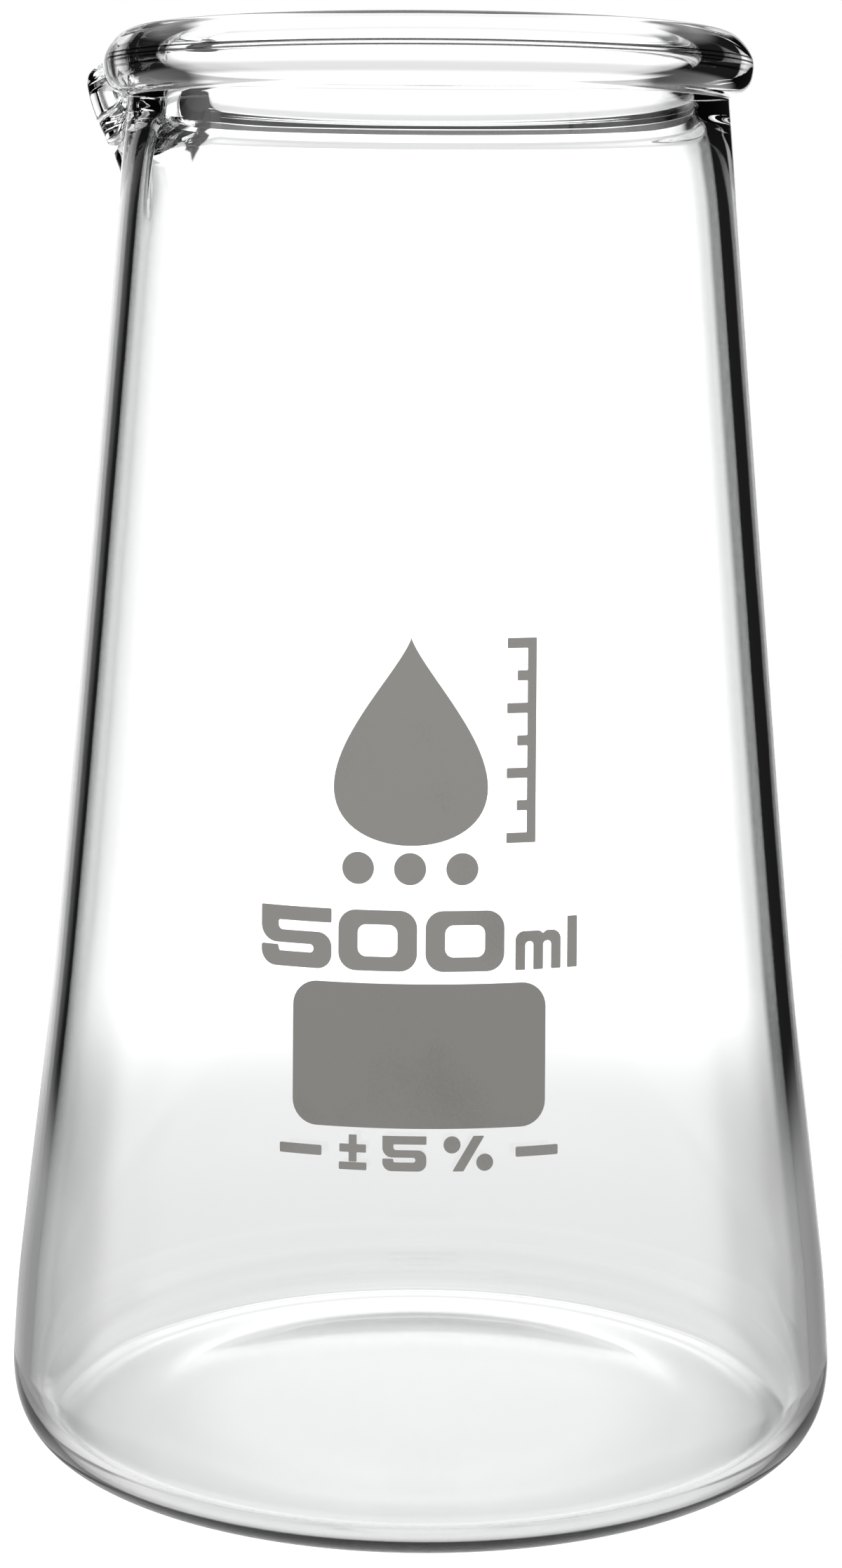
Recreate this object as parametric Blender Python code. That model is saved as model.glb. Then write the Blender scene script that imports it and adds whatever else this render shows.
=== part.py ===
"""A 500 ml conical laboratory beaker: one blown glass body with a beaded rim and a pouring spout, and the
white enamel marks fired onto its front. The front faces -Y, the axis is Z and the foot stands on z = 0."""

import math

import bmesh
import bpy

MM = 0.001

# Driving dimensions of the glass.
FOOT_RADIUS = 37.7 * MM
FOOT_RING_WIDTH = 5 * MM
UNDERSIDE_RISE = 0.8 * MM
HEEL_RADIUS = 46.27 * MM
HEEL_HEIGHT = 9.1 * MM
HEEL_FULLNESS = 2.6
WALL = 2.0 * MM
FLOOR_THICKNESS = 2.3 * MM

# The outer wall above the heel, as (radius, height) from the heel up to the foot of the rim.
WALL_LINE = (
    (HEEL_RADIUS, HEEL_HEIGHT),
    (45.58 * MM, 18 * MM),
    (44.37 * MM, 28 * MM),
    (41.08 * MM, 55 * MM),
    (36.75 * MM, 100 * MM),
    (33.71 * MM, 133 * MM),
)

# The rim's section from the neck round the bead to the collar under its inner side, as (radius, height) and
# the place each point takes on the lip of the spout (see lip_point).
RIM_LINE = (
    (33.71 * MM, 133.0 * MM, 0.0),
    (33.25 * MM, 138.0 * MM, 0.18),
    (32.97 * MM, 141.0 * MM, 0.32),
    (32.65 * MM, 144.5 * MM, 0.46),
    (32.36 * MM, 147.6 * MM, 0.6),
    (32.4 * MM, 147.95 * MM, 0.64),
    (32.75 * MM, 148.2 * MM, 0.68),
    (33.7 * MM, 148.6 * MM, 0.73),
    (34.45 * MM, 149.5 * MM, 0.79),
    (34.78 * MM, 150.7 * MM, 0.86),
    (34.8 * MM, 152.0 * MM, 0.92),
    (34.2 * MM, 153.3 * MM, 0.96),
    (33.1 * MM, 154.5 * MM, 0.985),
    (31.8 * MM, 155.0 * MM, 1.0),
    (30.5 * MM, 154.6 * MM, 1.015),
    (29.55 * MM, 153.4 * MM, 1.05),
    (29.2 * MM, 151.5 * MM, 1.13),
    (29.2 * MM, 148.5 * MM, 1.27),
    (29.2 * MM, 146.6 * MM, 1.36),
    (29.25 * MM, 146.1 * MM, 1.39),
    (29.45 * MM, 145.75 * MM, 1.41),
    (30.0 * MM, 145.2 * MM, 1.45),
    (30.15 * MM, 144.9 * MM, 1.47),
    (30.3 * MM, 144.2 * MM, 1.51),
    (30.62 * MM, 142.4 * MM, 1.6),
    (31.2 * MM, 138.0 * MM, 1.8),
    (31.71 * MM, 133.0 * MM, 2.0),
)

# The spout, drawn out of the rim at the left. There the bead thins out into a lip, and the lip bends
# outwards. Its middle line is a curve with four corners, first where it stands upright and then drawn out.
SPOUT_ANGLE = math.radians(163)
LIP_HALF_WIDTH = math.radians(17)
LIP_SQUARENESS = 1.6
SPOUT_HALF_WIDTH = math.radians(17)
LIP_UPRIGHT = ((32.71 * MM, 133 * MM), (32.2 * MM, 139 * MM), (31.4 * MM, 146.5 * MM), (31.6 * MM, 153.6 * MM))
LIP_DRAWN = ((32.71 * MM, 133 * MM), (32 * MM, 141 * MM), (38.6 * MM, 144.5 * MM), (38.9 * MM, 151 * MM))
LIP_CAP = 0.07
LIP_THINNING = 0.4

ROUND_STEPS = 60

# The enamel marks. Their sheets stand off the wall, so that no mark touches the glass.
MARK_GAP = 0.3 * MM
MARK_THICKNESS = 0.3 * MM
MARK_AXIS = -0.4 * MM
BEND_STEP = 1.6 * MM
ARC_STEPS = 3

NUMERAL_FOOT = 61 * MM
NUMERAL_HEIGHT = 6.05 * MM
ZERO_WIDTH = 7.9 * MM
FIVE_WIDTH = 7.44 * MM
BAR = 1.42 * MM
STEM = 1.95 * MM

GLASS = ("borosilicate_glass", (0.93, 0.96, 0.96, 0.35), 0.02, 0.0)
ENAMEL = ("white_enamel", (0.62, 0.61, 0.59, 1.0), 0.5, 0.0)


def clear_scene():
    for old in list(bpy.data.objects):
        bpy.data.objects.remove(old, do_unlink=True)


def material(node, look):
    """Each sub-part has its own material, a Principled surface with the look's values."""
    name, colour, roughness, metallic = look
    made = bpy.data.materials.new(f"{name}_{node}")
    made.use_nodes = True
    shader = made.node_tree.nodes["Principled BSDF"]
    shader.inputs["Base Color"].default_value = colour
    shader.inputs["Roughness"].default_value = roughness
    shader.inputs["Metallic"].default_value = metallic
    shader.inputs["Alpha"].default_value = colour[3]
    made.diffuse_color = colour
    return made


def finish_object(node, bm, look):
    """Turns the bmesh into a named object with smooth round faces and sharp edges kept."""
    bmesh.ops.recalc_face_normals(bm, faces=bm.faces[:])
    mesh = bpy.data.meshes.new(node)
    bm.to_mesh(mesh)
    bm.free()
    mesh.shade_smooth()
    mesh.set_sharp_from_angle(angle=math.radians(35))
    mesh.materials.append(material(node, look))
    obj = bpy.data.objects.new(node, mesh)
    bpy.context.scene.collection.objects.link(obj)
    return obj


def spline(points, steps):
    """Points of a smooth Catmull-Rom curve through the given ones, with steps spans between two of them."""
    ends = [points[0]] + list(points) + [points[-1]]
    curve = []
    for before, start, end, after in zip(ends, ends[1:], ends[2:], ends[3:]):
        for step in range(steps):
            t = step / steps
            weights = (
                -0.5 * t**3 + t**2 - 0.5 * t,
                1.5 * t**3 - 2.5 * t**2 + 1,
                -1.5 * t**3 + 2 * t**2 + 0.5 * t,
                0.5 * t**3 - 0.5 * t**2,
            )
            four = (before, start, end, after)
            curve.append(tuple(sum(w * p[axis] for w, p in zip(weights, four)) for axis in range(len(start))))
    curve.append(points[-1])
    return curve


OUTER_WALL = spline(WALL_LINE, 2)


def wall_radius(height):
    """Radius of the outer wall at a height between the heel and the neck."""
    for (lower_r, lower_z), (upper_r, upper_z) in zip(OUTER_WALL, OUTER_WALL[1:]):
        if lower_z <= height <= upper_z:
            share = (height - lower_z) / (upper_z - lower_z)
            return lower_r + share * (upper_r - lower_r)
    return OUTER_WALL[-1][0]


def quarter(centre, width, height, first, last, steps, fullness=2.0):
    """Points of a stretch of a superellipse, between two angles in degrees, ends included."""
    points = []
    for step in range(steps + 1):
        angle = math.radians(first + (last - first) * step / steps)
        across = math.copysign(abs(math.cos(angle)) ** (2 / fullness), math.cos(angle))
        up = math.copysign(abs(math.sin(angle)) ** (2 / fullness), math.sin(angle))
        points.append((centre[0] + width * across, centre[1] + height * up))
    return points


def outer_section():
    """The outside of the glass, from the middle of the underside out and up to the foot of the rim."""
    ring_inner = FOOT_RADIUS - FOOT_RING_WIDTH
    section = [(0.0, UNDERSIDE_RISE)]
    section.append((ring_inner * 0.6, UNDERSIDE_RISE * 0.75))
    section.append((ring_inner, 0.0))
    heel_width = HEEL_RADIUS - FOOT_RADIUS
    section += quarter((FOOT_RADIUS, HEEL_HEIGHT), heel_width, HEEL_HEIGHT, -90, 0, 6, HEEL_FULLNESS)
    return section + OUTER_WALL[1:-1]


def inner_section():
    """The inside of the glass, from the foot of the rim down the wall and over the floor to the axis."""
    section = [(radius - WALL, height) for radius, height in reversed(OUTER_WALL[1:-1])]
    width = HEEL_RADIUS - FOOT_RADIUS - WALL
    height = HEEL_HEIGHT - FLOOR_THICKNESS
    section += quarter((FOOT_RADIUS, HEEL_HEIGHT), width, height, 0, -90, 6, HEEL_FULLNESS)
    section.append((0.0, FLOOR_THICKNESS + UNDERSIDE_RISE * 0.6))
    return section


def lip_point(travel, drawn):
    """A point of the lip's skin. Travel 0 to 1 climbs its outer side, 1 to 2 comes down the inner side."""
    along = 1 - abs(1 - travel)
    side = 1 if travel <= 1 else -1
    left = 1 - along
    weights = (left**3, 3 * along * left**2, 3 * along**2 * left, along**3)
    slopes = (-left * left, left * left - 2 * along * left, 2 * along * left - along**2, along**2)
    middle = [0.0, 0.0]
    run = [0.0, 0.0]
    for weight, slope, upright, out in zip(weights, slopes, LIP_UPRIGHT, LIP_DRAWN):
        for axis in (0, 1):
            corner = upright[axis] + (out[axis] - upright[axis]) * drawn
            middle[axis] += weight * corner
            run[axis] += slope * corner
    capped = max(0.0, (along - 1 + LIP_CAP) / LIP_CAP)
    thickness = WALL * (1 - LIP_THINNING * along) * math.sqrt(1 - capped**2)
    half = side * thickness / 2 / math.hypot(*run)
    return middle[0] + half * run[1], middle[1] - half * run[0]


def draw_spout(bm, rim):
    """Thins the rim's bead out into the lip at the spout, and draws the lip out."""
    places = {(round(radius / MM, 3), round(height / MM, 3)): travel for radius, height, travel in rim}
    for vert in bm.verts:
        radius = math.hypot(vert.co.x, vert.co.y)
        away = abs(math.remainder(math.atan2(vert.co.y, vert.co.x) - SPOUT_ANGLE, 2 * math.pi))
        travel = places.get((round(radius / MM, 3), round(vert.co.z / MM, 3)))
        if travel is None or away >= max(LIP_HALF_WIDTH, SPOUT_HALF_WIDTH):
            continue
        drawn = math.cos(math.pi / 2 * min(1.0, away / SPOUT_HALF_WIDTH)) ** 2
        rise = min(1.0, max(0.0, LIP_SQUARENESS * (1 - away / LIP_HALF_WIDTH)))
        thin = rise * rise * (3 - 2 * rise)
        lip_radius, lip_height = lip_point(travel, drawn)
        vert.co.x *= 1 + thin * (lip_radius / radius - 1)
        vert.co.y *= 1 + thin * (lip_radius / radius - 1)
        vert.co.z += thin * (lip_height - vert.co.z)


def make_glass_body():
    rim = [(radius, height) for radius, height, travel in RIM_LINE]
    section = outer_section() + rim + inner_section()
    bm = bmesh.new()
    points = [bm.verts.new((radius, 0, height)) for radius, height in section]
    edges = [bm.edges.new(pair) for pair in zip(points, points[1:])]
    bmesh.ops.spin(
        bm,
        geom=points + edges,
        cent=(0, 0, 0),
        axis=(0, 0, 1),
        angle=2 * math.pi,
        steps=ROUND_STEPS,
        use_merge=True,
    )
    bmesh.ops.remove_doubles(bm, verts=bm.verts[:], dist=0.001 * MM)
    draw_spout(bm, RIM_LINE)
    return finish_object("glass_body", bm, GLASS)


def rounded(corners):
    """An outline through (x, y, radius) corners, each one turned into an arc of that radius."""
    outline = []
    for index, (x, y, radius) in enumerate(corners):
        before = corners[index - 1]
        after = corners[(index + 1) % len(corners)]
        arms = []
        for other in (before, after):
            length = math.hypot(other[0] - x, other[1] - y)
            arms.append(((other[0] - x) / length, (other[1] - y) / length))
        half_angle = math.acos(arms[0][0] * arms[1][0] + arms[0][1] * arms[1][1]) / 2
        reach = radius / math.tan(half_angle)
        start = (x + arms[0][0] * reach, y + arms[0][1] * reach)
        end = (x + arms[1][0] * reach, y + arms[1][1] * reach)
        for step in range(ARC_STEPS + 1):
            t = step / ARC_STEPS
            # A rational curve of the second degree is an exact arc.
            weight = math.sin(half_angle)
            parts = ((1 - t) ** 2, 2 * t * (1 - t) * weight, t * t)
            total = sum(parts)
            outline.append(
                tuple(
                    (parts[0] * start[axis] + parts[1] * (x, y)[axis] + parts[2] * end[axis]) / total
                    for axis in (0, 1)
                )
            )
    return outline


def rectangle(left, foot, width, height, radius):
    right, top = left + width, foot + height
    return rounded([(left, foot, radius), (right, foot, radius), (right, top, radius), (left, top, radius)])


def circle(centre_x, centre_y, radius, steps=16):
    turns = [2 * math.pi * step / steps for step in range(steps)]
    return [(centre_x + radius * math.cos(turn), centre_y + radius * math.sin(turn)) for turn in turns]


def make_mark(node, outlines):
    """A thin enamel sheet in the shape of the outlines, whose inner ones are holes, bent round the wall.
    An outline is drawn flat: x runs to the right along the wall from the marks' axis, and y is the height."""
    bm = bmesh.new()
    for outline in outlines:
        points = [bm.verts.new((x + MARK_AXIS, 0, y)) for x, y in outline]
        for index, point in enumerate(points):
            bm.edges.new((points[index - 1], point))
    bmesh.ops.triangle_fill(bm, edges=bm.edges[:], use_beauty=True, normal=(0, -1, 0))
    across = [vert.co.x for vert in bm.verts]
    cuts = int((max(across) - min(across)) / BEND_STEP)
    for cut in range(1, cuts + 1):
        place = min(across) + (max(across) - min(across)) * cut / (cuts + 1)
        bmesh.ops.bisect_plane(
            bm, geom=bm.verts[:] + bm.edges[:] + bm.faces[:], plane_co=(place, 0, 0), plane_no=(1, 0, 0)
        )
    bmesh.ops.triangulate(bm, faces=bm.faces[:])
    front = bmesh.ops.extrude_face_region(bm, geom=bm.faces[:])
    for element in front["geom"]:
        if isinstance(element, bmesh.types.BMVert):
            element.co.y = MARK_THICKNESS
    for vert in bm.verts:
        stand_off = wall_radius(vert.co.z) + MARK_GAP + vert.co.y
        turn = vert.co.x / wall_radius(vert.co.z)
        vert.co.x = stand_off * math.sin(turn)
        vert.co.y = -stand_off * math.cos(turn)
    return finish_object(node, bm, ENAMEL)


def five(left, foot, width, height):
    """The outline of a wide squared 5, in the box given."""
    corners = (
        (0, 1, 0.02),
        (1, 1, 0.02),
        (1, 0.765, 0.02),
        (0.25, 0.765, 0.03),
        (0.25, 0.6, 0.08),
        (1, 0.6, 0.24),
        (1, 0, 0.24),
        (0, 0, 0.26),
        (0, 0.35, 0.03),
        (0.24, 0.35, 0.02),
        (0.26, 0.25, 0.03),
        (0.75, 0.25, 0.065),
        (0.75, 0.39, 0.065),
        (0, 0.39, 0.28),
    )
    return rounded([(left + x * width, foot + y * height, radius * height) for x, y, radius in corners])


def zero(left, foot):
    """The two outlines of a wide squared 0: its outer edge and its counter."""
    outer = rectangle(left, foot, ZERO_WIDTH, NUMERAL_HEIGHT, 1.75 * MM)
    inner = rectangle(
        left + STEM, foot + BAR, ZERO_WIDTH - 2 * STEM, NUMERAL_HEIGHT - 2 * BAR, 0.85 * MM
    )
    return [outer, inner]


def letter_m(left, foot):
    """A small m whose two arches are equal."""
    height, stem, gap, roof = 3.86 * MM, 1.0 * MM, 0.87 * MM, 2.84 * MM
    middle, right = left + stem + gap, left + 3 * stem + 2 * gap
    small, arch, shoulder = 0.1 * MM, 0.4 * MM, 0.9 * MM
    top, under = foot + height, foot + roof
    notch = middle + stem
    return rounded(
        [
            (left, foot, small),
            (left + stem, foot, small),
            (left + stem, under, arch),
            (middle, under, arch),
            (middle, foot, small),
            (middle + stem, foot, small),
            (middle + stem, under, arch),
            (right - stem, under, arch),
            (right - stem, foot, small),
            (right, foot, small),
            (right, top, shoulder),
            (notch + 0.35 * MM, top, 0.4 * MM),
            (notch, top - 0.3 * MM, small),
            (notch - 0.35 * MM, top, 0.4 * MM),
            (left, top, shoulder),
        ]
    )


def drop(centre_x, foot, width, height, steps=28):
    """A plain drop: a round foot drawn up to a point, as a piriform curve."""
    outline = []
    for step in range(steps):
        turn = 2 * math.pi * step / steps
        across = math.sin(turn) * math.sin(turn / 2) ** 1.6
        outline.append((centre_x - across * width * 0.72, foot + height * (1 + math.cos(turn)) / 2))
    return outline


def scale_comb(left, foot, width, height, teeth):
    """An upright scale: a spine with short level teeth on its left."""
    spine, tooth = 0.9 * MM, 1.0 * MM
    right, root = left + width, left + width - spine
    pitch = (height - tooth) / (teeth - 1)
    corner = 0.1 * MM
    corners = [(right, foot, corner), (right, foot + height, corner)]
    for index in reversed(range(teeth)):
        tip = left if index % 2 == 0 else left + width * 0.35
        low = foot + index * pitch
        corners += [(tip, low + tooth, corner), (tip, low, corner)]
        if index:
            corners += [(root, low, corner), (root, low - pitch + tooth, corner)]
    return rounded(corners)


def plus(centre_x, centre_y, size, thickness):
    arm, half = size / 2, thickness / 2
    quarter_turn = [(arm, -half), (arm, half), (half, half)]
    corners = []
    for turn in range(4):
        for x, y in quarter_turn:
            for _ in range(turn):
                x, y = -y, x
            corners.append((centre_x + x, centre_y + y, 0.08 * MM))
    return rounded(corners)


def make_volume_marks():
    """500 ml, the nominal volume."""
    make_mark("numeral_5", [five(-16.32 * MM, NUMERAL_FOOT, FIVE_WIDTH, NUMERAL_HEIGHT)])
    make_mark("numeral_0_left", zero(-8.16 * MM, NUMERAL_FOOT))
    make_mark("numeral_0_right", zero(0.58 * MM, NUMERAL_FOOT))
    make_mark("letter_m", [letter_m(9.63 * MM, NUMERAL_FOOT)])
    make_mark("letter_l", [rectangle(15.1 * MM, NUMERAL_FOOT, 1.05 * MM, 5.14 * MM, 0.1 * MM)])


def make_emblem():
    """A plain drop over three dots, with an upright scale beside it."""
    middle = -1.0 * MM
    make_mark("emblem_drop", [drop(middle, 73.5 * MM, 15.5 * MM, 20.6 * MM)])
    for side, offset in (("left", -5.2), ("middle", 0), ("right", 5.2)):
        make_mark(f"emblem_dot_{side}", [circle(middle + offset * MM, 71.2 * MM, 1.6 * MM)])
    make_mark("emblem_scale", [scale_comb(8.6 * MM, 73.7 * MM, 3 * MM, 20.3 * MM, 7)])


def make_tolerance_line():
    """A tolerance of 5 percent, between two plain dashes."""
    foot, height = 41.1 * MM, 3.5 * MM
    dash = 1.0 * MM
    for side, left in (("left", -14.2), ("right", 9.8)):
        level = foot + (height - dash) / 2
        make_mark(f"dash_{side}", [rectangle(left * MM, level, 4.4 * MM, dash, 0.15 * MM)])
    sign = -6.6 * MM
    make_mark("tolerance_plus", [plus(sign, foot + 2.15 * MM, 2.7 * MM, 0.8 * MM)])
    make_mark("tolerance_minus", [rectangle(sign - 1.4 * MM, foot, 2.8 * MM, 0.75 * MM, 0.1 * MM)])
    make_mark("tolerance_5", [five(-3.6 * MM, foot, 4.4 * MM, height)])
    slash = [(3.4, 0), (4.5, 0), (6.6, 3.5), (5.5, 3.5)]
    make_mark("percent_bar", [rounded([(x * MM, foot + y * MM, 0.08 * MM) for x, y in slash])])
    make_mark("percent_dot_upper", [circle(3.35 * MM, foot + 2.65 * MM, 0.85 * MM)])
    make_mark("percent_dot_lower", [circle(6.65 * MM, foot + 0.85 * MM, 0.85 * MM)])


def make_marking_spot():
    """The matt field that takes pencil."""
    make_mark("marking_spot", [rectangle(-12.85 * MM, 45.35 * MM, 25.66 * MM, 14.4 * MM, 2.5 * MM)])


clear_scene()
make_glass_body()
make_emblem()
make_volume_marks()
make_marking_spot()
make_tolerance_line()
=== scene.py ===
"""A 500 ml conical laboratory beaker in clear borosilicate glass, with white enamel marks fired onto its
front. The glass is one turned body whose rim is drawn out into a spout. It stands on a plain pale floor in
soft studio light. The front faces -Y, the axis is Z, and lengths are in metres."""

import math

import bmesh
import bpy
from mathutils import Euler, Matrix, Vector


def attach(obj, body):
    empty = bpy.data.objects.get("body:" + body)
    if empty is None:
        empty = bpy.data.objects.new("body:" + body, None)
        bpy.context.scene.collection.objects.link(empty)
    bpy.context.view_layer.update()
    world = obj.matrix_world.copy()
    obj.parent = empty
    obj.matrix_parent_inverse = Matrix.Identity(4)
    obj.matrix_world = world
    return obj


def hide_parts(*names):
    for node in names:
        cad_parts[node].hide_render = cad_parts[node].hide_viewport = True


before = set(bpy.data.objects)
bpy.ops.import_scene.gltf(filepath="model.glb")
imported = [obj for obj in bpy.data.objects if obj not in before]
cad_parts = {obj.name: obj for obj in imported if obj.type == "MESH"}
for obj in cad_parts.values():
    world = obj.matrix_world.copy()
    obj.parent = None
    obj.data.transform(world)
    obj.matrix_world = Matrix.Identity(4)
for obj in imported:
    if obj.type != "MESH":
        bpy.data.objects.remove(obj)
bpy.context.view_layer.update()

MM = 0.001

# The glass, from the foot up.
FOOT_RADIUS = 37.7 * MM
FOOT_RING_WIDTH = 5 * MM
UNDERSIDE_RISE = 0.8 * MM
HEEL_RADIUS = 46.27 * MM
HEEL_HEIGHT = 9.1 * MM
HEEL_FULLNESS = 2.6
WALL = 2.0 * MM
FLOOR_THICKNESS = 2.3 * MM

# The outer wall above the heel, as (radius, height) from the heel up to the foot of the rim.
WALL_LINE = (
    (HEEL_RADIUS, HEEL_HEIGHT),
    (45.58 * MM, 18 * MM),
    (44.37 * MM, 28 * MM),
    (41.08 * MM, 55 * MM),
    (36.75 * MM, 100 * MM),
    (33.71 * MM, 133 * MM),
)
WALL_STEPS = 10

# The rim's section from the neck round the bead to the collar under its inner side, as (radius, height) and
# the place each point takes on the lip of the spout (see lip_point).
RIM_LINE = (
    (33.71 * MM, 133.0 * MM, 0.0),
    (33.25 * MM, 138.0 * MM, 0.18),
    (32.97 * MM, 141.0 * MM, 0.32),
    (32.65 * MM, 144.5 * MM, 0.46),
    (32.36 * MM, 147.6 * MM, 0.6),
    (32.4 * MM, 147.95 * MM, 0.64),
    (32.75 * MM, 148.2 * MM, 0.68),
    (33.7 * MM, 148.6 * MM, 0.73),
    (34.45 * MM, 149.5 * MM, 0.79),
    (34.78 * MM, 150.7 * MM, 0.86),
    (34.8 * MM, 152.0 * MM, 0.92),
    (34.2 * MM, 153.3 * MM, 0.96),
    (33.1 * MM, 154.5 * MM, 0.985),
    (31.8 * MM, 155.0 * MM, 1.0),
    (30.5 * MM, 154.6 * MM, 1.015),
    (29.55 * MM, 153.4 * MM, 1.05),
    (29.2 * MM, 151.5 * MM, 1.13),
    (29.2 * MM, 148.5 * MM, 1.27),
    (29.2 * MM, 146.6 * MM, 1.36),
    (29.25 * MM, 146.1 * MM, 1.39),
    (29.45 * MM, 145.75 * MM, 1.41),
    (30.0 * MM, 145.2 * MM, 1.45),
    (30.15 * MM, 144.9 * MM, 1.47),
    (30.3 * MM, 144.2 * MM, 1.51),
    (30.62 * MM, 142.4 * MM, 1.6),
    (31.2 * MM, 138.0 * MM, 1.8),
    (31.71 * MM, 133.0 * MM, 2.0),
)
RIM_STEPS = 4

# The spout, drawn out of the rim at the left. There the bead thins out into a lip, and the lip bends
# outwards. Its middle line is a curve with four corners, first where it stands upright and then drawn out.
SPOUT_ANGLE = math.radians(163)
LIP_HALF_WIDTH = math.radians(17)
LIP_SQUARENESS = 1.6
SPOUT_HALF_WIDTH = math.radians(17)
LIP_UPRIGHT = (
    (32.71 * MM, 133 * MM),
    (32.2 * MM, 139 * MM),
    (31.4 * MM, 146.5 * MM),
    (31.6 * MM, 153.6 * MM),
)
LIP_DRAWN = (
    (32.71 * MM, 133 * MM),
    (32 * MM, 141 * MM),
    (38.6 * MM, 144.5 * MM),
    (38.9 * MM, 151 * MM),
)
LIP_CAP = 0.07
LIP_THINNING = 0.4

# At the front, the collar runs out into an even slope between these two (radius, height) places.
COLLAR_SLOPE = ((30.5 * MM, 143.2 * MM), (29.2 * MM, 151.0 * MM))
COLLAR_SLOPE_ONSET = 2

ROUND_STEPS = 240

# The glass's colours. Where it is seen edge on, a greenish grey painted shade deepens between these two
# facings and darkens its edges, and less so near the foot, below the two heights.
CLEAR = (0.988, 0.99, 0.992, 1)
EDGE_SHADE_COLOUR = (0.33, 0.38, 0.34, 1)
LINE_COLOUR = (0.01, 0.01, 0.01, 1)
GLASS_IOR = 1.473
EDGE_SHADE_FACINGS = (0.75, 0.97)
EDGE_SHADE_RISE = (2 * MM, 24 * MM)
EDGE_SHADE_AT_FOOT = 0.15

# Dark lines tinted into the rim. They stand in for refraction at its folds that the turned shape is too smooth
# to give, so each is on one side only. As (lowest and highest place, inner and outer radius, and 1 for the back
# or -1 for the front). Each one fades away to its sides between the two depths of LINE_ENDS.
DARK_LINES = (
    (147.1 * MM, 147.75 * MM, 28.8 * MM, 31 * MM, 1),
    (151.52 * MM, 151.66 * MM, 34.3 * MM, 36 * MM, -1),
    (151.98 * MM, 152.1 * MM, 34.3 * MM, 36 * MM, -1),
)
LINE_SOFTNESS = 0.06 * MM
LINE_ENDS = (-8 * MM, 4 * MM)

# The enamel marks, as films that lie on the wall.
FILM_LIFT = 0.02 * MM
FILM_THICKNESS = 0.05 * MM
MARK_AXIS = -0.4 * MM
BEND_STEP = 0.9 * MM
RISE_STEP = 2.5 * MM
ARC_STEPS = 8
NUMERAL_FOOT = 61 * MM
NUMERAL_HEIGHT = 6.05 * MM
ZERO_WIDTH = 7.9 * MM
FIVE_WIDTH = 7.44 * MM
BAR = 1.42 * MM
STEM = 1.95 * MM

# The enamel's brightness: the thin print, and the thicker field to write on.
PRINT_TONE = 0.215
SPOT_TONE = 0.19

# The camera stands a little above the middle of the glass and looks slightly down.
CAMERA_PLACE = (-0.37 * MM, -351.8 * MM, 130.7 * MM)
CAMERA_TILT = math.radians(9.26)
CAMERA_ROLL = math.radians(0.36)
CAMERA_LENS = 73.46
CAMERA_SENSOR = 36
CAMERA_NEAR = 10 * MM

# The studio's brightness round the horizon, as (degrees to the right of straight behind the glass, level): a
# bright backdrop, dark cards on both sides of it, and white beyond them.
STUDIO_LIGHT = 1.25
CARD_LIGHT = 0.012
WHITE = (1, 1, 1, 1)
ROUND_LIGHT = (
    (-84, STUDIO_LIGHT),
    (-70, CARD_LIGHT),
    (-30, CARD_LIGHT),
    (-26, 0.4),
    (-19, 0.95),
    (-13, 1.4),
    (-8, 1.7),
    (11, 1.7),
    (16, 1.2),
    (19.5, CARD_LIGHT),
    (77, CARD_LIGHT),
    (90, STUDIO_LIGHT),
)

# Degrees above the horizon. The cards fade in between the two of CARD_FOOT and between the two of CARD_TOP.
# The backdrop's light falls by its dimming's share between the two of BACKDROP_FOOT, and of BACKDROP_TOP.
CARD_FOOT = (-24, -14)
CARD_TOP = (34, 24)
BACKDROP_DIMMING = 0.53
BACKDROP_FOOT = (-12, -17)
BACKDROP_TOP = (6, 17)

# The floor is a glossy white table that glows a little with painted light, by (distance from the axis, level):
# brightest under the glass, falling to a painted contact shadow round the foot. It fades out away from the
# glass.
FLOOR_RADIUS = 260 * MM
FLOOR_DROP = 0.05 * MM
FLOOR_FADE = (140 * MM, 250 * MM)
FLOOR_PAINTED_LIGHT = ((20 * MM, 0.48), (30 * MM, 0.38), (41 * MM, 0.24), (54 * MM, 0.3))
FLOOR_GLOSS = 0.5
FLOOR_ROUGHNESS = 0.12


# ---------------------------------------------------------------- nodes and materials


def new_material(name):
    """A material with its node tree cleared down to the Principled shader."""
    made = bpy.data.materials.new(name)
    made.use_nodes = True
    tree = made.node_tree
    return made, tree, tree.nodes["Principled BSDF"]


def add_node(tree, kind, values=None, **settings):
    """A node with its settings, and values for its named or numbered inputs."""
    node = tree.nodes.new(kind)
    for name, value in settings.items():
        setattr(node, name, value)
    for name, value in (values or {}).items():
        node.inputs[name].default_value = value
    return node


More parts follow.
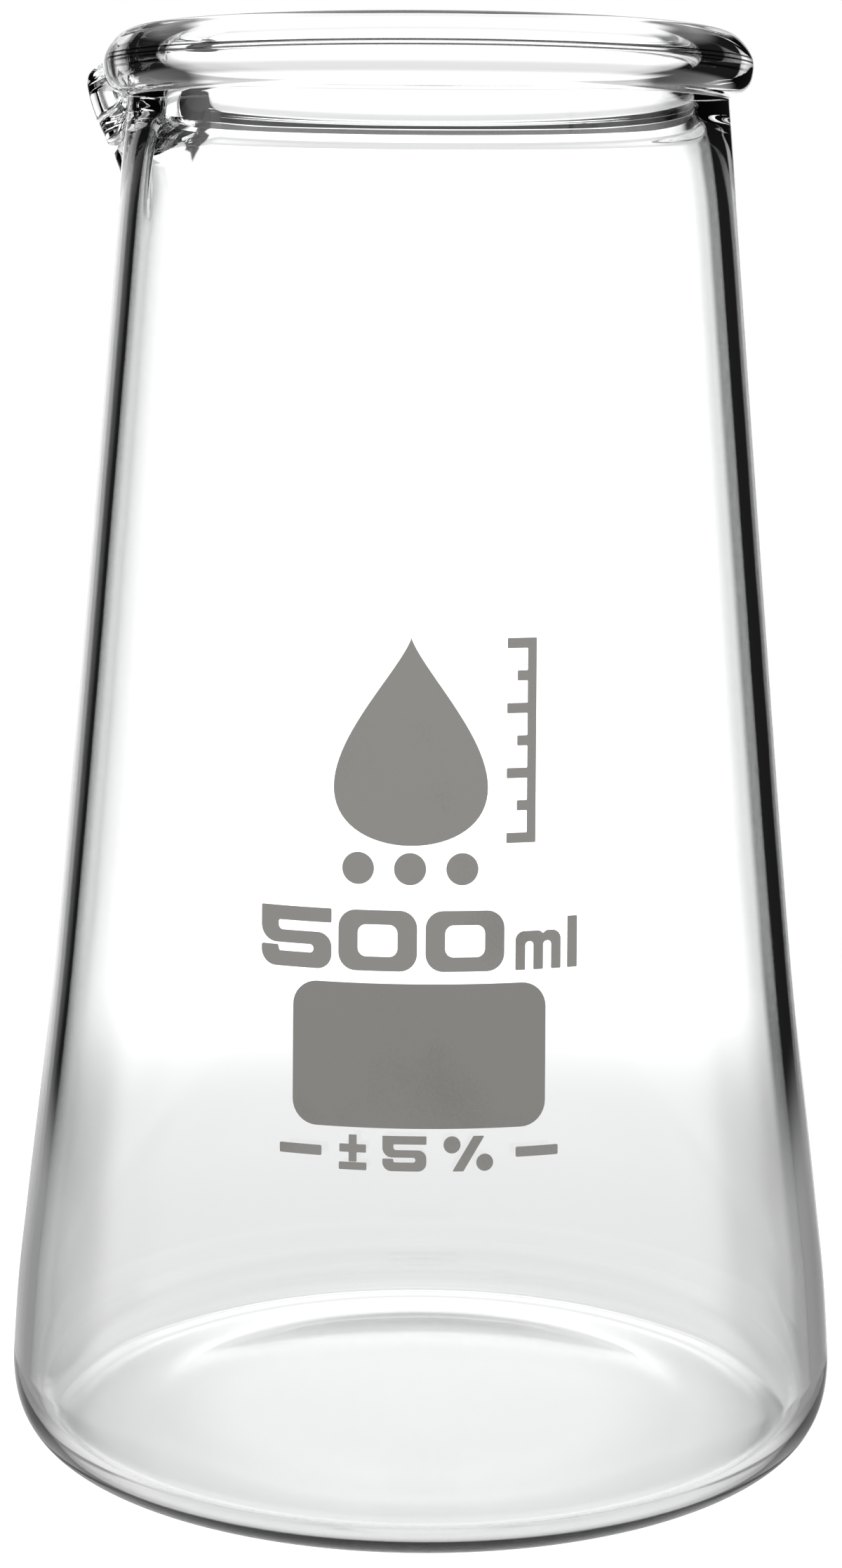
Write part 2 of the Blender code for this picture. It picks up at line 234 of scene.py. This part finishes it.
def clear_glass():
    """Borosilicate glass: clear, with the faint waves of blown glass on its surface. Its colour is darkened
    by painted shade where it is seen edge on, and by the rim's dark lines.
    """
    made, tree, shader = new_material("clear_glass")
    shader.inputs["Base Color"].default_value = CLEAR
    shader.inputs["Roughness"].default_value = 0.0
    shader.inputs["IOR"].default_value = GLASS_IOR
    shader.inputs["Transmission Weight"].default_value = 1.0
    # Painted shade: the glass's colour turns greenish grey where it is seen edge on, to darken its edges.
    edge = add_node(tree, "ShaderNodeLayerWeight", {"Blend": 0.5})
    edge_shade = add_node(tree, "ShaderNodeValToRGB")
    edge_shade.color_ramp.elements[0].position = EDGE_SHADE_FACINGS[0]
    edge_shade.color_ramp.elements[0].color = CLEAR
    edge_shade.color_ramp.elements[1].position = EDGE_SHADE_FACINGS[1]
    edge_shade.color_ramp.elements[1].color = EDGE_SHADE_COLOUR
    place = add_node(tree, "ShaderNodeTexCoord")
    split = add_node(tree, "ShaderNodeSeparateXYZ")
    tree.links.new(place.outputs["Object"], split.inputs["Vector"])
    rise = add_step(tree, split.outputs["Z"], *EDGE_SHADE_RISE)
    rise = add_math(tree, "MULTIPLY_ADD", rise, 1 - EDGE_SHADE_AT_FOOT, EDGE_SHADE_AT_FOOT)
    tree.links.new(edge.outputs["Facing"], edge_shade.inputs["Fac"])
    edge_shaded = add_node(tree, "ShaderNodeMix", data_type="RGBA")
    edge_shaded.inputs[6].default_value = CLEAR
    tree.links.new(rise, edge_shaded.inputs[0])
    tree.links.new(edge_shade.outputs["Color"], edge_shaded.inputs[7])
    lined = add_node(tree, "ShaderNodeMix", data_type="RGBA")
    tree.links.new(add_dark_lines(tree, split), lined.inputs[0])
    tree.links.new(edge_shaded.outputs[2], lined.inputs[6])
    lined.inputs[7].default_value = LINE_COLOUR
    tree.links.new(lined.outputs[2], shader.inputs["Base Color"])
    waves = add_node(tree, "ShaderNodeTexNoise", {"Scale": 45.0, "Detail": 1.5, "Roughness": 0.4})
    bump = add_node(tree, "ShaderNodeBump", {"Strength": 0.05, "Distance": 0.0004})
    tree.links.new(place.outputs["Object"], waves.inputs["Vector"])
    tree.links.new(waves.outputs["Fac"], bump.inputs["Height"])
    tree.links.new(bump.outputs["Normal"], shader.inputs["Normal"])
    return made


def add_dark_lines(tree, split):
    """1 on the dark lines tinted into the rim and 0 elsewhere."""
    across = add_math(tree, "MULTIPLY", split.outputs["X"], split.outputs["X"])
    square = add_math(tree, "MULTIPLY_ADD", split.outputs["Y"], split.outputs["Y"], across)
    radius = add_math(tree, "SQRT", square)
    total = None
    for low, high, inner, outer, side in DARK_LINES:
        line = add_step(tree, split.outputs["Z"], low - LINE_SOFTNESS, low)
        for value, start, end in (
            (split.outputs["Z"], high + LINE_SOFTNESS, high),
            (radius, inner, inner + LINE_SOFTNESS),
            (radius, outer, outer - LINE_SOFTNESS),
            (split.outputs["Y"], LINE_ENDS[0] * side, LINE_ENDS[1] * side),
        ):
            line = add_math(tree, "MULTIPLY", line, add_step(tree, value, start, end))
        total = line if total is None else add_math(tree, "ADD", total, line)
    return total


def fired_enamel(name, tone):
    """White ceramic enamel, screen printed: a fine grain and slightly thinner patches, as dark as its tone."""
    made, tree, shader = new_material(name)
    shader.inputs["Roughness"].default_value = 0.55
    place = add_node(tree, "ShaderNodeTexCoord")
    grain = add_node(tree, "ShaderNodeTexNoise", {"Scale": 3200.0, "Detail": 3.0, "Roughness": 0.7})
    cloud = add_node(tree, "ShaderNodeTexNoise", {"Scale": 90.0, "Detail": 2.0})
    mixed = add_node(tree, "ShaderNodeMath", operation="MULTIPLY_ADD")
    mixed.inputs[1].default_value = 0.55
    ramp = add_node(tree, "ShaderNodeValToRGB")
    ramp.color_ramp.elements[0].position = 0.35
    ramp.color_ramp.elements[0].color = (0.9 * tone, 0.875 * tone, 0.82 * tone, 1)
    ramp.color_ramp.elements[1].position = 1.15 / 1.55
    ramp.color_ramp.elements[1].color = (1.13 * tone, 1.1 * tone, 1.04 * tone, 1)
    bump = add_node(tree, "ShaderNodeBump", {"Strength": 0.25, "Distance": 0.00003})
    tree.links.new(place.outputs["Object"], grain.inputs["Vector"])
    tree.links.new(place.outputs["Object"], cloud.inputs["Vector"])
    tree.links.new(grain.outputs["Fac"], mixed.inputs[0])
    tree.links.new(cloud.outputs["Fac"], mixed.inputs[2])
    tree.links.new(mixed.outputs["Value"], ramp.inputs["Fac"])
    tree.links.new(ramp.outputs["Color"], shader.inputs["Base Color"])
    tree.links.new(grain.outputs["Fac"], bump.inputs["Height"])
    tree.links.new(bump.outputs["Normal"], shader.inputs["Normal"])
    return made


# ---------------------------------------------------------------- the shape of the glass


def spline(points, steps):
    """Points of a smooth Catmull-Rom curve through the given ones, with steps spans between two of them."""
    ends = [points[0]] + list(points) + [points[-1]]
    curve = []
    for before, start, end, after in zip(ends, ends[1:], ends[2:], ends[3:]):
        for step in range(steps):
            t = step / steps
            weights = (
                -0.5 * t**3 + t**2 - 0.5 * t,
                1.5 * t**3 - 2.5 * t**2 + 1,
                -1.5 * t**3 + 2 * t**2 + 0.5 * t,
                0.5 * t**3 - 0.5 * t**2,
            )
            by_axis = zip(before, start, end, after)
            curve.append(tuple(sum(w * place for w, place in zip(weights, four)) for four in by_axis))
    curve.append(points[-1])
    return curve


OUTER_WALL = spline(WALL_LINE, WALL_STEPS)


def wall_radius(height):
    """Radius of the outer wall at a height between the heel and the neck."""
    for (lower_r, lower_z), (upper_r, upper_z) in zip(OUTER_WALL, OUTER_WALL[1:]):
        if lower_z <= height <= upper_z:
            share = (height - lower_z) / (upper_z - lower_z)
            return lower_r + share * (upper_r - lower_r)
    return OUTER_WALL[-1][0]


def quarter(centre, width, height, first, last, steps, fullness=2.0):
    """Points of a stretch of a superellipse, between two angles in degrees, ends included."""
    points = []
    for step in range(steps + 1):
        angle = math.radians(first + (last - first) * step / steps)
        across = math.copysign(abs(math.cos(angle)) ** (2 / fullness), math.cos(angle))
        up = math.copysign(abs(math.sin(angle)) ** (2 / fullness), math.sin(angle))
        points.append((centre[0] + width * across, centre[1] + height * up))
    return points


def outer_section():
    """The outside of the glass, from the middle of the underside out and up to the foot of the rim."""
    ring_inner = FOOT_RADIUS - FOOT_RING_WIDTH
    section = []
    for step in range(13):
        share = step / 12
        section.append((ring_inner * share, UNDERSIDE_RISE * (1 - share**3)))
    heel_width = HEEL_RADIUS - FOOT_RADIUS
    section += quarter((FOOT_RADIUS, HEEL_HEIGHT), heel_width, HEEL_HEIGHT, -90, 0, 24, HEEL_FULLNESS)
    return section + OUTER_WALL[1:-1]


def inner_section():
    """The inside of the glass, from the foot of the rim down the wall and over the floor to the axis."""
    section = [(radius - WALL, height) for radius, height in reversed(OUTER_WALL[1:-1])]
    width = HEEL_RADIUS - FOOT_RADIUS - WALL
    height = HEEL_HEIGHT - FLOOR_THICKNESS
    section += quarter((FOOT_RADIUS, HEEL_HEIGHT), width, height, 0, -90, 22, HEEL_FULLNESS)
    for step in range(1, 13):
        share = 1 - step / 12
        rise = UNDERSIDE_RISE * 0.6 * (1 - share**3)
        section.append((FOOT_RADIUS * share, FLOOR_THICKNESS + rise))
    return section


def finish_piece(name, bm, material, node):
    """Turns the bmesh into a smooth piece that rides on the root and stands for one node of the frame."""
    bmesh.ops.recalc_face_normals(bm, faces=bm.faces[:])
    mesh = bpy.data.meshes.new(name)
    bm.to_mesh(mesh)
    bm.free()
    mesh.shade_smooth()
    mesh.materials.append(material)
    piece = bpy.data.objects.new(name, mesh)
    bpy.context.scene.collection.objects.link(piece)
    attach(piece, "root")
    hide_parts(node)
    return piece


def blow_glass(material):
    """The beaker's one glass body: its section is turned round the axis, then the spout is drawn out."""
    rim = spline(RIM_LINE, RIM_STEPS)
    section = outer_section() + [(radius, height) for radius, height, travel in rim] + inner_section()
    bm = bmesh.new()
    points = [bm.verts.new((radius, 0, height)) for radius, height in section]
    edges = [bm.edges.new(pair) for pair in zip(points, points[1:])]
    bmesh.ops.spin(
        bm,
        geom=points + edges,
        cent=(0, 0, 0),
        axis=(0, 0, 1),
        angle=2 * math.pi,
        steps=ROUND_STEPS,
        use_merge=True,
    )
    bmesh.ops.remove_doubles(bm, verts=bm.verts[:], dist=0.001 * MM)
    draw_spout(bm, rim)
    soften_front_collar(bm)
    return finish_piece("beaker_glass", bm, material, "glass_body")


def lip_point(travel, drawn):
    """A point of the lip's skin. Travel 0 to 1 climbs its outer side, 1 to 2 comes down the inner side."""
    along = 1 - abs(1 - travel)
    side = 1 if travel <= 1 else -1
    left = 1 - along
    weights = (left**3, 3 * along * left**2, 3 * along**2 * left, along**3)
    slopes = (-left * left, left * left - 2 * along * left, 2 * along * left - along**2, along**2)
    middle = [0.0, 0.0]
    run = [0.0, 0.0]
    for weight, slope, upright, out in zip(weights, slopes, LIP_UPRIGHT, LIP_DRAWN):
        for axis in (0, 1):
            corner = upright[axis] + (out[axis] - upright[axis]) * drawn
            middle[axis] += weight * corner
            run[axis] += slope * corner
    capped = max(0.0, (along - 1 + LIP_CAP) / LIP_CAP)
    thickness = WALL * (1 - LIP_THINNING * along) * math.sqrt(1 - capped**2)
    half = side * thickness / 2 / math.hypot(*run)
    return middle[0] + half * run[1], middle[1] - half * run[0]


def draw_spout(bm, rim):
    """Thins the rim's bead out into the lip at the spout, and draws the lip out."""
    places = {(round(radius / MM, 3), round(height / MM, 3)): travel for radius, height, travel in rim}
    for vert in bm.verts:
        radius = math.hypot(vert.co.x, vert.co.y)
        away = abs(math.remainder(math.atan2(vert.co.y, vert.co.x) - SPOUT_ANGLE, 2 * math.pi))
        travel = places.get((round(radius / MM, 3), round(vert.co.z / MM, 3)))
        if travel is None or away >= max(LIP_HALF_WIDTH, SPOUT_HALF_WIDTH):
            continue
        drawn = math.cos(math.pi / 2 * min(1.0, away / SPOUT_HALF_WIDTH)) ** 2
        rise = min(1.0, max(0.0, LIP_SQUARENESS * (1 - away / LIP_HALF_WIDTH)))
        thin = rise * rise * (3 - 2 * rise)
        lip_radius, lip_height = lip_point(travel, drawn)
        vert.co.x *= 1 + thin * (lip_radius / radius - 1)
        vert.co.y *= 1 + thin * (lip_radius / radius - 1)
        vert.co.z += thin * (lip_height - vert.co.z)


def soften_front_collar(bm):
    """Lets the step under the inner side of the bead run out towards the front, into an even slope."""
    (low_radius, low), (high_radius, high) = COLLAR_SLOPE
    for vert in bm.verts:
        radius = math.hypot(vert.co.x, vert.co.y)
        if low < vert.co.z < high and radius < low_radius:
            share = (high - vert.co.z) / (high - low)
            even = high_radius + share * (low_radius - high_radius)
            front = min(1.0, max(0.0, -COLLAR_SLOPE_ONSET * vert.co.y / radius))
            moved = 1 + (even / radius - 1) * front
            vert.co.x *= moved
            vert.co.y *= moved


# ---------------------------------------------------------------- the enamel marks


def rounded(corners):
    """An outline through (x, y, radius) corners, each one turned into an arc of that radius."""
    outline = []
    for index, (x, y, radius) in enumerate(corners):
        corner = Vector((x, y))
        before = Vector(corners[index - 1][:2]) - corner
        after = Vector(corners[(index + 1) % len(corners)][:2]) - corner
        half_angle = before.angle(after) / 2
        reach = radius / math.tan(half_angle)
        start = corner + before.normalized() * reach
        end = corner + after.normalized() * reach
        for step in range(ARC_STEPS + 1):
            t = step / ARC_STEPS
            # A rational curve of the second degree is an exact arc.
            parts = ((1 - t) ** 2, 2 * t * (1 - t) * math.sin(half_angle), t * t)
            outline.append((parts[0] * start + parts[1] * corner + parts[2] * end) / sum(parts))
    return outline


def rectangle(left, foot, width, height, radius):
    right, top = left + width, foot + height
    return rounded([(left, foot, radius), (right, foot, radius), (right, top, radius), (left, top, radius)])


def circle(centre_x, centre_y, radius, steps=48):
    turns = [2 * math.pi * step / steps for step in range(steps)]
    return [(centre_x + radius * math.cos(turn), centre_y + radius * math.sin(turn)) for turn in turns]


def slice_sheet(bm, axis, step):
    """Cuts a flat sheet into strips across X (axis 0) or Z (axis 2), so that it can bend."""
    places = [vert.co[axis] for vert in bm.verts]
    low, high = min(places), max(places)
    cuts = int((high - low) / step)
    normal = Vector((0, 0, 0))
    normal[axis] = 1
    for cut in range(1, cuts + 1):
        place = normal * (low + (high - low) * cut / (cuts + 1))
        bmesh.ops.bisect_plane(
            bm, geom=bm.verts[:] + bm.edges[:] + bm.faces[:], plane_co=place, plane_no=normal
        )


def print_mark(node, outlines, material):
    """A thin enamel film in the shape of the outlines, whose inner ones are holes, bent round the wall.
    An outline is drawn flat: x runs to the right along the wall from the marks' axis, and y is the height."""
    bm = bmesh.new()
    for outline in outlines:
        points = [bm.verts.new((x + MARK_AXIS, 0, y)) for x, y in outline]
        for index, point in enumerate(points):
            bm.edges.new((points[index - 1], point))
    bmesh.ops.triangle_fill(bm, edges=bm.edges[:], use_beauty=True, normal=(0, -1, 0))
    slice_sheet(bm, 0, BEND_STEP)
    slice_sheet(bm, 2, RISE_STEP)
    front = bmesh.ops.extrude_face_region(bm, geom=bm.faces[:])
    for element in front["geom"]:
        if isinstance(element, bmesh.types.BMVert):
            element.co.y = FILM_THICKNESS
    for vert in bm.verts:
        stand_off = wall_radius(vert.co.z) + FILM_LIFT + vert.co.y
        turn = vert.co.x / wall_radius(vert.co.z)
        vert.co.x = stand_off * math.sin(turn)
        vert.co.y = -stand_off * math.cos(turn)
    piece = finish_piece(f"{node}_print", bm, material, node)
    piece.data.set_sharp_from_angle(angle=math.radians(40))
    return piece


def five(left, foot, width, height):
    """The outline of a wide squared 5, in the box given."""
    corners = (
        (0, 1, 0.02),
        (1, 1, 0.02),
        (1, 0.765, 0.02),
        (0.25, 0.765, 0.03),
        (0.25, 0.6, 0.08),
        (1, 0.6, 0.24),
        (1, 0, 0.24),
        (0, 0, 0.26),
        (0, 0.35, 0.03),
        (0.24, 0.35, 0.02),
        (0.26, 0.25, 0.03),
        (0.75, 0.25, 0.065),
        (0.75, 0.39, 0.065),
        (0, 0.39, 0.28),
    )
    return rounded([(left + x * width, foot + y * height, radius * height) for x, y, radius in corners])


def zero(left, foot):
    """The two outlines of a wide squared 0: its outer edge and its counter."""
    outer = rectangle(left, foot, ZERO_WIDTH, NUMERAL_HEIGHT, 1.75 * MM)
    inner = rectangle(
        left + STEM, foot + BAR, ZERO_WIDTH - 2 * STEM, NUMERAL_HEIGHT - 2 * BAR, 0.85 * MM
    )
    return [outer, inner]


def letter_m(left, foot):
    """A small m whose two arches are equal."""
    height, stem, gap, roof = 3.86 * MM, 1.0 * MM, 0.87 * MM, 2.84 * MM
    middle, right = left + stem + gap, left + 3 * stem + 2 * gap
    small, arch, shoulder = 0.1 * MM, 0.4 * MM, 0.9 * MM
    top, under = foot + height, foot + roof
    notch = middle + stem
    return rounded(
        [
            (left, foot, small),
            (left + stem, foot, small),
            (left + stem, under, arch),
            (middle, under, arch),
            (middle, foot, small),
            (middle + stem, foot, small),
            (middle + stem, under, arch),
            (right - stem, under, arch),
            (right - stem, foot, small),
            (right, foot, small),
            (right, top, shoulder),
            (notch + 0.35 * MM, top, 0.4 * MM),
            (notch, top - 0.3 * MM, small),
            (notch - 0.35 * MM, top, 0.4 * MM),
            (left, top, shoulder),
        ]
    )


def drop(centre_x, foot, width, height, steps=90):
    """A plain drop: a round foot drawn up to a point, as a piriform curve."""
    outline = []
    for step in range(steps):
        turn = 2 * math.pi * step / steps
        across = math.sin(turn) * math.sin(turn / 2) ** 1.6
        outline.append((centre_x - across * width * 0.72, foot + height * (1 + math.cos(turn)) / 2))
    return outline


def scale_comb(left, foot, width, height, teeth):
    """An upright scale: a spine with short level teeth on its left."""
    spine, tooth = 0.9 * MM, 1.0 * MM
    right, root = left + width, left + width - spine
    pitch = (height - tooth) / (teeth - 1)
    corner = 0.1 * MM
    corners = [(right, foot, corner), (right, foot + height, corner)]
    for index in reversed(range(teeth)):
        tip = left if index % 2 == 0 else left + width * 0.35
        low = foot + index * pitch
        corners += [(tip, low + tooth, corner), (tip, low, corner)]
        if index:
            corners += [(root, low, corner), (root, low - pitch + tooth, corner)]
    return rounded(corners)


def plus(centre_x, centre_y, size, thickness):
    arm, half = size / 2, thickness / 2
    quarter_turn = [(arm, -half), (arm, half), (half, half)]
    corners = []
    for turn in range(4):
        for x, y in quarter_turn:
            for _ in range(turn):
                x, y = -y, x
            corners.append((centre_x + x, centre_y + y, 0.08 * MM))
    return rounded(corners)


def print_volume(enamel):
    """500 ml, the nominal volume."""
    print_mark("numeral_5", [five(-16.32 * MM, NUMERAL_FOOT, FIVE_WIDTH, NUMERAL_HEIGHT)], enamel)
    print_mark("numeral_0_left", zero(-8.16 * MM, NUMERAL_FOOT), enamel)
    print_mark("numeral_0_right", zero(0.58 * MM, NUMERAL_FOOT), enamel)
    print_mark("letter_m", [letter_m(9.63 * MM, NUMERAL_FOOT)], enamel)
    print_mark("letter_l", [rectangle(15.1 * MM, NUMERAL_FOOT, 1.05 * MM, 5.14 * MM, 0.1 * MM)], enamel)


def print_emblem(enamel):
    """A plain drop over three dots, with an upright scale beside it."""
    middle = -1.0 * MM
    print_mark("emblem_drop", [drop(middle, 73.5 * MM, 15.5 * MM, 20.6 * MM)], enamel)
    for side, offset in (("left", -5.2), ("middle", 0), ("right", 5.2)):
        print_mark(f"emblem_dot_{side}", [circle(middle + offset * MM, 71.2 * MM, 1.6 * MM)], enamel)
    print_mark("emblem_scale", [scale_comb(8.6 * MM, 73.7 * MM, 3 * MM, 20.3 * MM, 7)], enamel)


def print_tolerance(enamel):
    """A tolerance of 5 percent, between two plain dashes."""
    foot, height = 41.1 * MM, 3.5 * MM
    dash = 1.0 * MM
    for side, left in (("left", -14.2), ("right", 9.8)):
        level = foot + (height - dash) / 2
        print_mark(f"dash_{side}", [rectangle(left * MM, level, 4.4 * MM, dash, 0.15 * MM)], enamel)
    sign = -6.6 * MM
    print_mark("tolerance_plus", [plus(sign, foot + 2.15 * MM, 2.7 * MM, 0.8 * MM)], enamel)
    under = rectangle(sign - 1.4 * MM, foot, 2.8 * MM, 0.75 * MM, 0.1 * MM)
    print_mark("tolerance_minus", [under], enamel)
    print_mark("tolerance_5", [five(-3.6 * MM, foot, 4.4 * MM, height)], enamel)
    slash = [(3.4, 0), (4.5, 0), (6.6, 3.5), (5.5, 3.5)]
    print_mark("percent_bar", [rounded([(x * MM, foot + y * MM, 0.08 * MM) for x, y in slash])], enamel)
    print_mark("percent_dot_upper", [circle(3.35 * MM, foot + 2.65 * MM, 0.85 * MM)], enamel)
    print_mark("percent_dot_lower", [circle(6.65 * MM, foot + 0.85 * MM, 0.85 * MM)], enamel)


def print_marking_spot(enamel):
    """The matt field that takes pencil."""
    spot = rectangle(-12.85 * MM, 45.35 * MM, 25.66 * MM, 14.4 * MM, 2.5 * MM)
    print_mark("marking_spot", [spot], enamel)


# ---------------------------------------------------------------- floor, light and camera


def lay_floor():
    """A plain pale round floor that fades away towards its edge. It is plain white where it is seen directly,
    and graded where the glass bends or mirrors it: painted light, brightest under the glass, with a painted
    contact shadow round the foot."""
    bm = bmesh.new()
    bmesh.ops.create_circle(bm, cap_ends=True, segments=128, radius=FLOOR_RADIUS)
    mesh = bpy.data.meshes.new("floor")
    bm.to_mesh(mesh)
    bm.free()
    floor = bpy.data.objects.new("floor", mesh)
    bpy.context.scene.collection.objects.link(floor)
    floor.location.z = -FLOOR_DROP
    made, tree, shader = new_material("pale_floor")
    shader.inputs["Base Color"].default_value = (FLOOR_GLOSS, FLOOR_GLOSS, FLOOR_GLOSS, 1)
    shader.inputs["Metallic"].default_value = 1.0
    shader.inputs["Roughness"].default_value = FLOOR_ROUGHNESS
    shader.inputs["Emission Strength"].default_value = 1.0
    place = add_node(tree, "ShaderNodeTexCoord")
    away = add_node(tree, "ShaderNodeVectorMath", operation="LENGTH")
    tree.links.new(place.outputs["Object"], away.inputs[0])
    fade = add_step(tree, away.outputs["Value"], FLOOR_FADE[1], FLOOR_FADE[0])
    tree.links.new(fade, shader.inputs["Alpha"])
    rays = add_node(tree, "ShaderNodeLightPath")
    seen = add_node(tree, "ShaderNodeMix", data_type="RGBA")
    tree.links.new(rays.outputs["Is Camera Ray"], seen.inputs[0])
    # Painted light and a painted contact shadow, seen only where the glass bends or mirrors the floor.
    tree.links.new(add_levels(tree, away.outputs["Value"], FLOOR_PAINTED_LIGHT), seen.inputs[6])
    seen.inputs[7].default_value = WHITE
    tree.links.new(seen.outputs[2], shader.inputs["Emission Color"])
    mesh.materials.append(made)


def add_levels(tree, value, levels):
    """A brightness that goes smoothly from one (value, level) to the next."""
    glow = levels[0][1]
    for (start, before), (end, after) in zip(levels, levels[1:]):
        step = add_step(tree, value, start, end)
        change = add_math(tree, "MULTIPLY", step, after - before)
        glow = add_math(tree, "ADD", change, glow)
    return glow


def add_math(tree, operation, *values):
    """A Math node on its inputs, each a socket or a number. Returns its output."""
    node = add_node(tree, "ShaderNodeMath", operation=operation)
    for index, value in enumerate(values):
        if isinstance(value, (int, float)):
            node.inputs[index].default_value = value
        else:
            tree.links.new(value, node.inputs[index])
    return node.outputs["Value"]


def add_step(tree, value, start, end):
    """0 below start, 1 above end and a soft step between them. With start above end it falls instead."""
    node = add_node(tree, "ShaderNodeMapRange", interpolation_type="SMOOTHSTEP")
    tree.links.new(value, node.inputs["Value"])
    low, high = min(start, end), max(start, end)
    node.inputs["From Min"].default_value = low
    node.inputs["From Max"].default_value = high
    node.inputs["To Min"].default_value = 0.0 if start < end else 1.0
    node.inputs["To Max"].default_value = 1.0 if start < end else 0.0
    return node.outputs["Result"]


def add_height_step(tree, up, start, end):
    """A step on the height of a direction, between two angles above the horizon in degrees."""
    return add_step(tree, up, math.sin(math.radians(start)), math.sin(math.radians(end)))


def light_studio():
    """Plain white where it is seen directly. What the glass bends and mirrors is another, graded light: bright,
    but for dark cards beside the backdrop, which draw the edges of the glass."""
    world = bpy.data.worlds.new("studio")
    bpy.context.scene.world = world
    world.use_nodes = True
    tree = world.node_tree
    tree.nodes.clear()
    link = tree.links.new
    place = add_node(tree, "ShaderNodeTexCoord")
    split = add_node(tree, "ShaderNodeSeparateXYZ")
    link(place.outputs["Generated"], split.inputs["Vector"])
    to_right = add_math(tree, "ARCTAN2", split.outputs["X"], split.outputs["Y"])
    levels = [(math.radians(turn), level) for turn, level in ROUND_LIGHT]
    light = add_levels(tree, to_right, levels)
    for full, dimmed in (BACKDROP_FOOT, BACKDROP_TOP):
        dimming = add_height_step(tree, split.outputs["Z"], full, dimmed)
        share = add_math(tree, "SUBTRACT", 1.0, add_math(tree, "MULTIPLY", dimming, BACKDROP_DIMMING))
        light = add_math(tree, "MULTIPLY", light, share)
    change = add_math(tree, "SUBTRACT", light, STUDIO_LIGHT)
    for bare, dark in (CARD_FOOT, CARD_TOP):
        edge = add_height_step(tree, split.outputs["Z"], bare, dark)
        change = add_math(tree, "MULTIPLY", change, edge)
    light = add_math(tree, "ADD", change, STUDIO_LIGHT)
    rays = add_node(tree, "ShaderNodeLightPath")
    seen = add_node(tree, "ShaderNodeMix", data_type="RGBA")
    link(rays.outputs["Is Camera Ray"], seen.inputs[0])
    link(light, seen.inputs[6])
    seen.inputs[7].default_value = WHITE
    back = add_node(tree, "ShaderNodeBackground")
    link(seen.outputs[2], back.inputs["Color"])
    out = add_node(tree, "ShaderNodeOutputWorld")
    link(back.outputs["Background"], out.inputs["Surface"])


def set_camera():
    """The camera, a little above the middle of the glass and in front of it."""
    data = bpy.data.cameras.new("camera")
    data.sensor_width = CAMERA_SENSOR
    data.lens = CAMERA_LENS
    data.clip_start = CAMERA_NEAR
    camera = bpy.data.objects.new("camera", data)
    camera.location = CAMERA_PLACE
    upright = Euler((math.pi / 2 - CAMERA_TILT, 0, 0)).to_matrix()
    roll = Euler((0, 0, CAMERA_ROLL)).to_matrix()
    camera.rotation_euler = (upright @ roll).to_euler()
    bpy.context.scene.collection.objects.link(camera)
    bpy.context.scene.camera = camera
    bpy.context.scene.view_settings.view_transform = "Standard"


set_camera()
light_studio()
lay_floor()
blow_glass(clear_glass())
ENAMEL = fired_enamel("fired_enamel", PRINT_TONE)
print_emblem(ENAMEL)
print_volume(ENAMEL)
print_tolerance(ENAMEL)
print_marking_spot(fired_enamel("thick_enamel", SPOT_TONE))
